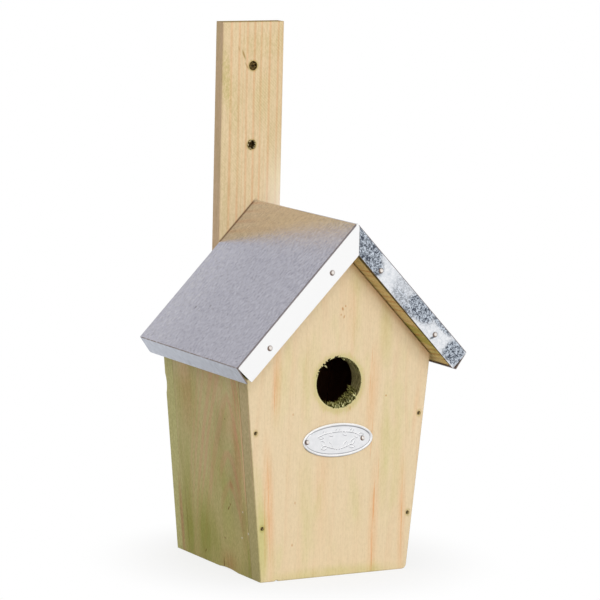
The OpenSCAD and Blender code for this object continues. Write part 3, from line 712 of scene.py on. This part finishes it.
def nail_metal():
    """A rusty, stained head below the wood's face, part of it filled with wood dust; the open
    part's darkness is rust with painted shade of its sunk hole.
    """
    material, n, shader = new_material("nail_metal")
    place = n.position()
    face = n.combine(n.mm(place, "x"), n.mm(place, "z"), 0.0)
    # The dark open part is rust with painted shade of the sunk hole
    open_part = n.spots(face, [(nail.x * 1000, nail.z * 1000, 1.0, 1.6, -24, 1.0, 0.75)
                               for nail in WALL_NAILS])
    rust = n.noise(place, 1600, 4, 0.7)
    dark = n.mix(n.ramp(rust, 0.35, 0.65), srgb(52, 42, 26), srgb(104, 84, 52))
    n.fill(shader, {"Base Color": n.mix(open_part, srgb(186, 172, 118), dark),
                    "Metallic": 0.1, "Roughness": 0.75})
    return material


dress("roof_sheet", zinc())
pins, nails = pin_metal(), nail_metal()
for node_name in frame["nodes"]:
    if "_pin_" in node_name:
        dress(node_name, pins)
    if "_nail_" in node_name:
        dress(node_name, nails)


# ---------------- torn fibres in the holes

def mesh_piece(name, points, faces, smooth):
    mesh = bpy.data.meshes.new(name)
    mesh.from_pydata(points, [], faces)
    mesh.validate()
    for polygon in mesh.polygons:
        polygon.use_smooth = smooth
    return bpy.data.objects.new(name, mesh)


class Fibres:
    """Collects thin three-sided splinters round a hole into one mesh. The hole starts in a front
    face at start, in metres; radius and the other lengths are in mm."""

    def __init__(self, seed, start, radius):
        self.points, self.faces, self.draw = [], [], random.Random(seed)
        self.start, self.radius = start, radius

    def splinter(self, root, way, length, width, sag):
        """A splinter from root along way that bends by sag at its tip and ends in a point."""
        way = way.normalized()
        side = way.orthogonal().normalized()
        other = way.cross(side)
        first = len(self.points)
        turn = self.draw.uniform(0, math.tau)
        for share, size in ((0, 1.0), (0.45, 0.85), (0.8, 0.45)):
            centre = root + (way * share + sag * share ** 2) * length * MM
            for corner in range(3):
                angle = turn + math.tau * corner / 3
                self.points.append(centre + (side * math.cos(angle) + other * 0.5 * math.sin(angle))
                                   * width * size * MM / 2)
        self.points.append(root + (way + sag) * length * MM)
        self.faces.append((first + 2, first + 1, first))
        for level in (0, 3):
            for corner in range(3):
                a, b = first + level + corner, first + level + (corner + 1) % 3
                self.faces.append((a, b, b + 3, a + 3))
        for corner in range(3):
            self.faces.append((first + 6 + corner, first + 6 + (corner + 1) % 3, first + 9))

    def scatter(self, count, angles, depths, lengths, widths, lean, spread):
        """Adds splinters. angles to widths are ranges; lean is added to the direction of the
        hole's middle, and spread is how far each one strays."""
        for _ in range(count):
            angle = math.radians(self.draw.uniform(*angles))
            inward = Vector((-math.cos(angle), 0, -math.sin(angle)))
            root = Vector(self.start) - inward * (self.radius + 0.15) * MM
            root.y += self.draw.uniform(*depths) * MM
            stray = Vector([self.draw.uniform(-spread, spread) for _ in range(3)])
            self.splinter(root, inward + Vector(lean) + stray, self.draw.uniform(*lengths),
                          self.draw.uniform(*widths), stray.cross(inward) * 0.4)

    def finish(self, name, slot, material_name, root, tip, lit):
        """The piece, of torn wood that is dark at its root by the hole's wall with painted shade,
        paler at its tip and palest near the face with painted light."""
        material, n, shader = new_material(material_name)
        place = n.position()
        x, z = n.mm(place, "x"), n.mm(place, "z")
        off = n.combine(n.minus(x, self.start[0] * 1000), n.minus(z, self.start[2] * 1000), 0.0)
        inside = n.minus(self.radius, n.length(off))
        own = n.add("NewGeometry").outputs["Random Per Island"]
        reach = 0.14 * self.radius
        # Painted shade at the roots by the hole's wall and painted light near the face
        shade = n.ramp(n.total(inside, n.times(n.minus(own, 0.6), 1.4 * reach)), 0.0, reach)
        near = n.ramp(n.minus(n.mm(place, "y"), self.start[1] * 1000), 4.5, 0.5)
        n.fill(shader, {"Base Color": n.mix(shade, root, n.mix(near, tip, lit)),
                        "Roughness": 0.85, "Specular IOR Level": 0.15})
        keep(mesh_piece(name, self.points, self.faces, False), material)


def hole_fibres():
    """The entry hole's long tufts, and the short teeth on its rim."""
    torn = Fibres(11, tuple(HOLE), HOLE_R)
    # How many, then scatter's angles, depths, lengths, widths, lean and spread
    for count, *shape in (
            (130, (-108, -22), (3.0, 11.5), (1.6, 3.4), (0.7, 1.4), (-0.2, -0.15, 0.5), 0.6),
            (26, (-112, -72), (2.0, 8.0), (2.6, 4.4), (1.0, 1.7), (-0.2, -0.15, 0.4), 0.5),
            (80, (-106, -36), (-0.1, 3.4), (1.4, 3.0), (0.9, 1.9), (-0.2, -0.3, 0.5), 0.7),
            (50, (-62, -18), (7.0, 11.8), (1.8, 3.6), (0.7, 1.2), (-0.2, 0.0, 0.45), 0.5),
            (34, (-30, 96), (0.0, 1.2), (0.5, 1.1), (0.4, 0.8), (0, -0.2, 0.2), 0.6),
            (46, (24, 84), (0.4, 4.0), (1.8, 3.2), (0.4, 0.8), (0.9, 0.3, -0.9), 0.3)):
        torn.scatter(count, *shape)
    torn.finish("hole_fibres", "wood_front", "torn_fibres",
                srgb(84, 82, 36), srgb(164, 158, 92), srgb(240, 236, 172))
    teeth = Fibres(12, tuple(HOLE), HOLE_R)
    teeth.scatter(12, (96, 150), (0.6, 1.6), (0.5, 1.2), (0.6, 1.2), (0, 0.1, 0), 0.6)
    teeth.scatter(30, (20, 92), (0.3, 1.2), (0.4, 1.0), (0.5, 1.1), (0, 0.1, 0), 0.5)
    chip = HOLE + Vector((-10.7, 0.4, 11.2)) * MM
    for step in range(5):
        teeth.splinter(chip + Vector((0.3, 0, -0.2)) * step * MM,
                       Vector((0.9, -0.2, 0.25 - 0.2 * step)), 1.3, 0.6, Vector((0, 0, 0.1)))
    teeth.finish("hole_rim_fibres", "wood_front", "rim_fibres",
                 srgb(150, 144, 92), srgb(190, 182, 130), srgb(226, 218, 172))


def hanging_hole_fibres():
    """Splinters deep in the hanging holes, and tooth clusters on the lower one's rim, pale with
    painted light.
    """
    for name, start in HANG_HOLES.items():
        torn = Fibres(13, start, HANG_R)
        torn.scatter(10, (0, 360), (0.0, 0.8), (0.5, 1.0), (0.4, 0.8), (0, -0.2, 0), 0.6)
        # lit is the painted light near the face: pale on the lower hole, dull on the upper
        depths, lit = (1.2, 8.0), srgb(138, 116, 70)
        if name == "lower":
            depths, lit = (4.5, 8.0), srgb(222, 208, 160)
        torn.scatter(150, (0, 360), depths, (1.4, 3.6), (0.5, 1.1), (0, 0, 0), 0.7)
        if name == "lower":
            for angle, length in ((22, 0.6), (62, 0.7), (118, 1.2), (188, 1.0), (252, 1.3),
                                  (318, 0.9)):
                torn.scatter(7, (angle - 16, angle + 16), (-0.05, 0.2), (0.6 * length, length),
                             (1.0, 1.6), (0, -0.1, 0), 0.2)
        torn.finish(name + "_hanging_hole_fibres", "wood_batten", name + "_batten_fibres",
                    srgb(104, 84, 46), srgb(118, 96, 54), lit)


hole_fibres()
hanging_hole_fibres()


# ---------------- pressed plate

PLATE_A, PLATE_B = (plate_high.x - plate_low.x) * 500, (plate_high.z - plate_low.z) * 500
PLATE_X, PLATE_Z = (plate_high.x + plate_low.x) * 500, (plate_high.z + plate_low.z) * 500
PLATE_RISE = (FRONT_Y - plate_low.y) * 1000
FIELD_RISE, FIELD_INSET = 0.6, 3.6
BEAD_HALF, GROOVE_INSET, GROOVE_HALF = 0.95, 2.05, 0.25
RIM_INSETS = (3.2, 2.8, 2.4, 2.32, 2.3, 2.2, 2.05, 1.95, 1.9, 1.85, 1.75, 1.6, 1.4, 1.2, 0.95, 0.75,
              0.5, 0.3, 0.15, 0.05, 0.0)
LINE_HALF, LINE_RISE = 0.3, 0.18
PIN_CLEAR, PIN_FADE = 1.7, 0.7


def garland(angle):
    """A point of the relief's arc, in mm from the plate's middle, and the arc's direction."""
    cos, sin = math.cos(math.radians(angle)), math.sin(math.radians(angle))
    return 15.5 * cos, 0.9 + 4.4 * sin, math.degrees(math.atan2(-4.4 * cos, 15.5 * sin))


def leaves():
    """The relief's leaves as (x, z, angle, length, width): a garland above two sprigs."""
    found = []
    for step in range(8):
        x, z, run = garland(154 - 19 * step)
        found.append((x, z, run + (42 if step % 2 else -42), 3.7, 1.9))
    for side in (-1, 1):
        for x, z, heading, length in ((4.4, -4.7, 62, 4.4), (7.6, -3.8, -12, 4.6),
                                      (9.0, -3.2, 50, 4.8)):
            found.append((side * x, z, heading if side > 0 else 180 - heading, length, 2.3))
    return found


def stems():
    """The relief's stems as lists of points."""
    sprig = ((2.0, -5.4), (4.4, -4.8), (7.0, -4.0), (9.4, -3.0))
    return [[garland(angle)[:2] for angle in range(22, 159, 8)]] \
        + [[(side * x, z) for x, z in sprig] for side in (-1, 1)]


def raised(off, half, height, slope=0.22):
    """A flat-topped ridge of that half width: its height at a distance from its middle."""
    return height * min(1.0, max(0.0, (half - off) / slope)) ** 0.6


def plate_relief(x, z, leaf_list, stem_list):
    """Height of the pressed motif over the plate's field, in mm."""
    rise = 0.0
    for leaf_x, leaf_z, heading, length, width in leaf_list:
        dx, dz = x - leaf_x, z - leaf_z
        if abs(dx) > length or abs(dz) > length:
            continue
        cos, sin = math.cos(math.radians(heading)), math.sin(math.radians(heading))
        along, off = (dx * cos + dz * sin) / length, abs(dz * cos - dx * sin)
        if 0 < along < 1:
            half = width / 2 * math.sin(math.pi * along ** 0.8)
            rise = max(rise, raised(abs(off - half), LINE_HALF, LINE_RISE))
    for stem in stem_list:
        for (ax, az), (bx, bz) in zip(stem, stem[1:]):
            if x < min(ax, bx) - 1 or x > max(ax, bx) + 1:
                continue
            span = (bx - ax) ** 2 + (bz - az) ** 2
            share = min(1, max(0, ((x - ax) * (bx - ax) + (z - az) * (bz - az)) / span))
            off = math.hypot(x - ax - share * (bx - ax), z - az - share * (bz - az))
            rise = max(rise, raised(off, LINE_HALF, LINE_RISE))
    for berry_x in (-0.9, 0.9):
        rise = max(rise, raised(math.hypot(x - berry_x, z + 5.5), 0.55, 0.25, 0.5))
    return rise


def rim_profile(inset):
    """Height of the plate's edge: a rolled bead, then a fine groove beside the field."""
    bead = max(0.0, 1 - ((inset - BEAD_HALF) / BEAD_HALF) ** 2) ** 0.5
    groove = max(0.0, 1 - abs(inset - GROOVE_INSET) / GROOVE_HALF)
    foot = 0.1 if inset < BEAD_HALF else FIELD_RISE
    return foot + (PLATE_RISE - foot) * bead - 0.16 * groove


def pressed_plate():
    """The oval plate: a grid for the field, mapped from a square, and rings for the rim."""
    wide, high = 176, 72
    a, b = PLATE_A - FIELD_INSET, PLATE_B - FIELD_INSET
    leaf_list, stem_list = leaves(), stems()
    points, faces, index = [], [], {}

    def put(x, z, rise):
        """Adds a point; what is raised fades out round the pins."""
        away = min(math.hypot(x + PLATE_X - pin.x * 1000, z + PLATE_Z - pin.z * 1000)
                   for pin in PLATE_PINS)
        if rise > FIELD_RISE and away < PIN_CLEAR + PIN_FADE:
            rise = FIELD_RISE + (rise - FIELD_RISE) * max(0, (away - PIN_CLEAR) / PIN_FADE)
        points.append(((x + PLATE_X) * MM, FRONT_Y - rise * MM, (z + PLATE_Z) * MM))
        return len(points) - 1

    for row in range(high + 1):
        for column in range(wide + 1):
            u, v = 2 * column / wide - 1, 2 * row / high - 1
            x, z = a * u * math.sqrt(1 - v * v / 2), b * v * math.sqrt(1 - u * u / 2)
            index[column, row] = put(x, z, FIELD_RISE + plate_relief(x, z, leaf_list, stem_list))
    for row in range(high):
        for column in range(wide):
            faces.append((index[column, row], index[column + 1, row],
                          index[column + 1, row + 1], index[column, row + 1]))
    border = [(c, 0) for c in range(wide)] + [(wide, r) for r in range(high)] \
        + [(c, high) for c in range(wide, 0, -1)] + [(0, r) for r in range(high, 0, -1)]
    ring = [index[key] for key in border]
    turns = [math.atan2((points[k][2] / MM - PLATE_Z) / b, (points[k][0] / MM - PLATE_X) / a)
             for k in ring]
    for inset, rise in [(inset, rim_profile(inset)) for inset in RIM_INSETS] + [(0.0, 0.0)]:
        outer_ring = [put((PLATE_A - inset) * math.cos(turn),
                          (PLATE_B - inset) * math.sin(turn), rise) for turn in turns]
        for k in range(len(ring)):
            follow = (k + 1) % len(ring)
            faces.append((ring[k], outer_ring[k], outer_ring[follow], ring[follow]))
        ring = outer_ring
    faces.append(tuple(reversed(ring)))
    plate = mesh_piece("pressed_plate", points, faces, True)
    keep(plate, plate_material())
    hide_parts("oval_plate")


def plate_material():
    """Satin aluminium with a fine pressed grain, painted highlights on the relief's upper left
    flanks and painted shade in the groove and on its lower right flanks.
    """
    material, n, shader = new_material("plate_metal")
    place = n.position()
    grain = n.noise(place, 1800, 3, 0.6)
    cloud = n.noise(place, 260, 3, 0.6)
    base = n.mix(n.ramp(cloud, 0.3, 0.7), srgb(248, 248, 250), srgb(240, 241, 243))
    rise = n.minus(FRONT_Y * 1000, n.mm(place, "y"))
    # Painted highlight: raised flanks that face up and left are painted white and made less
    # metallic
    below = n.dot(n.add("TexCoord").outputs["Normal"], (0.45, 0, -0.9))
    above = n.times(n.ramp(below, -0.1, -0.3), n.ramp(rise, FIELD_RISE - 0.05, FIELD_RISE + 0.02))
    # Painted shade: the groove beside the rim and the relief's flanks that face down and right are
    # darkened
    groove = n.ramp(rise, FIELD_RISE - 0.03, FIELD_RISE - 0.14, 0.0, 0.7)
    relief = n.times(n.ramp(below, 0.06, 0.3),
                     n.ramp(rise, PLATE_RISE - 0.3, PLATE_RISE - 0.1, 0.85, 0.15))
    base = n.mix(n.times(n.most(groove, relief), n.ramp(rise, 0.15, 0.35)), base,
                 srgb(138, 141, 150))
    bump = n.add("Bump", {"Strength": 0.06, "Distance": 0.0001, "Height": grain})
    n.fill(shader, {"Base Color": n.mix(above, base, srgb(254, 254, 254)),
                    "Roughness": n.ramp(grain, 0.3, 0.7, 0.3, 0.36), "Normal": bump.outputs[0],
                    "Metallic": n.minus(1.0, n.times(above, 0.9))})
    return material


pressed_plate()


# ---------------- floor, light and camera

def floor():
    """A pale floor, white where it is seen and further out in the metal, that keeps its shadow."""
    bpy.ops.mesh.primitive_plane_add(size=60, location=(0, 0, -0.0002))
    plane = bpy.context.object
    plane.name = "studio_floor"
    material, n, shader = new_material("studio_floor")
    n.fill(shader, {"Base Color": (0.82, 0.82, 0.82, 1), "Roughness": 1.0,
                    "Specular IOR Level": 0.0})
    glow = n.add("Emission", {"Color": (1, 1, 1, 1), "Strength": 1.0})
    path = n.add("LightPath").outputs
    away = n.length(n.position())
    near = n.most(path["Is Camera Ray"], path["Is Transmission Ray"])
    share = n.most(n.times(near, n.ramp(away, 0.06, 0.14, 0.8, 1.0)),
                   n.times(path["Is Glossy Ray"], n.ramp(away, 0.15, 0.55, 0.25, 1.0)))
    blend = n.add("MixShader", {0: share, 1: shader.outputs[0], 2: glow.outputs[0]})
    n.fill(n.tree.nodes["Material Output"], {0: blend.outputs[0]})
    plane.data.materials.append(material)


AMBIENT, CEILING = 0.52, 0.58


def lamp(name, place, target, size, power, seen_in_metal):
    """A soft box. One that metal doesn't see lights its satin parts but leaves no glare."""
    data = bpy.data.lights.new(name, "AREA")
    data.shape = "RECTANGLE"
    data.size, data.size_y = size
    data.energy = power
    light = bpy.data.objects.new(name, data)
    light.visible_glossy = seen_in_metal
    scene.collection.objects.link(light)
    light.location = place
    light.rotation_euler = (Vector(target) - Vector(place)).to_track_quat("-Z", "Y").to_euler()


def world():
    """White where it is seen and soft grey where it lights; metal sees a dimmer ceiling above."""
    space = bpy.data.worlds.new("studio")
    scene.world = space
    space.use_nodes = True
    n = Nodes(space.node_tree)
    path = n.add("LightPath").outputs
    rise = n.axis(n.add("TexCoord").outputs["Generated"], "z")
    ceiling = n.ramp(rise, 0.12, 0.42, 1.0, CEILING)
    seen = n.most(path["Is Camera Ray"], path["Is Transmission Ray"])
    strength = n.most(seen, n.times(path["Is Glossy Ray"], ceiling), AMBIENT)
    n.fill(n.tree.nodes["Background"], {"Color": (1, 1, 1, 1), "Strength": strength})


# The camera, from its bearing, height angle and roll in degrees, its focal length in pixels of
# the 600 pixel image, and where the point it is aimed at lies from it
AZIMUTH, ELEVATION, ROLL = -29.45, 8.36, 1.34
FOCAL_PX, IMAGE_PX, SENSOR_MM = 3611.44, 600, 36
AIM = Vector((0, FRONT_Y + 0.060, 0.150))
OFFSET = Vector((-4.58, -15.04, -2279.55)) * MM


def camera():
    a, e, r = (math.radians(x) for x in (AZIMUTH, ELEVATION, ROLL))
    back = Vector((math.sin(a) * math.cos(e), -math.cos(a) * math.cos(e), math.sin(e)))
    right = Vector((math.cos(a), math.sin(a), 0))
    up = back.cross(right)
    turn = Matrix((right * math.cos(r) + up * math.sin(r),
                   up * math.cos(r) - right * math.sin(r), back)).transposed()
    data = bpy.data.cameras.new("camera")
    data.sensor_width = SENSOR_MM
    data.lens = SENSOR_MM * FOCAL_PX / IMAGE_PX
    data.clip_end = 100
    view = bpy.data.objects.new("camera", data)
    scene.collection.objects.link(view)
    view.matrix_world = Matrix.Translation(AIM - turn @ OFFSET) @ turn.to_4x4()
    scene.camera = view


floor()
world()
lamp("key", (-0.25, -2.5, 1.0), (0, 0, 0.15), (2.2, 1.6), 36.5, False)
lamp("glint", (-0.3, -2.0, 2.0), (0, 0, 0.15), (0.35, 0.35), 4.0, True)
camera()
scene.view_settings.view_transform = "Standard"
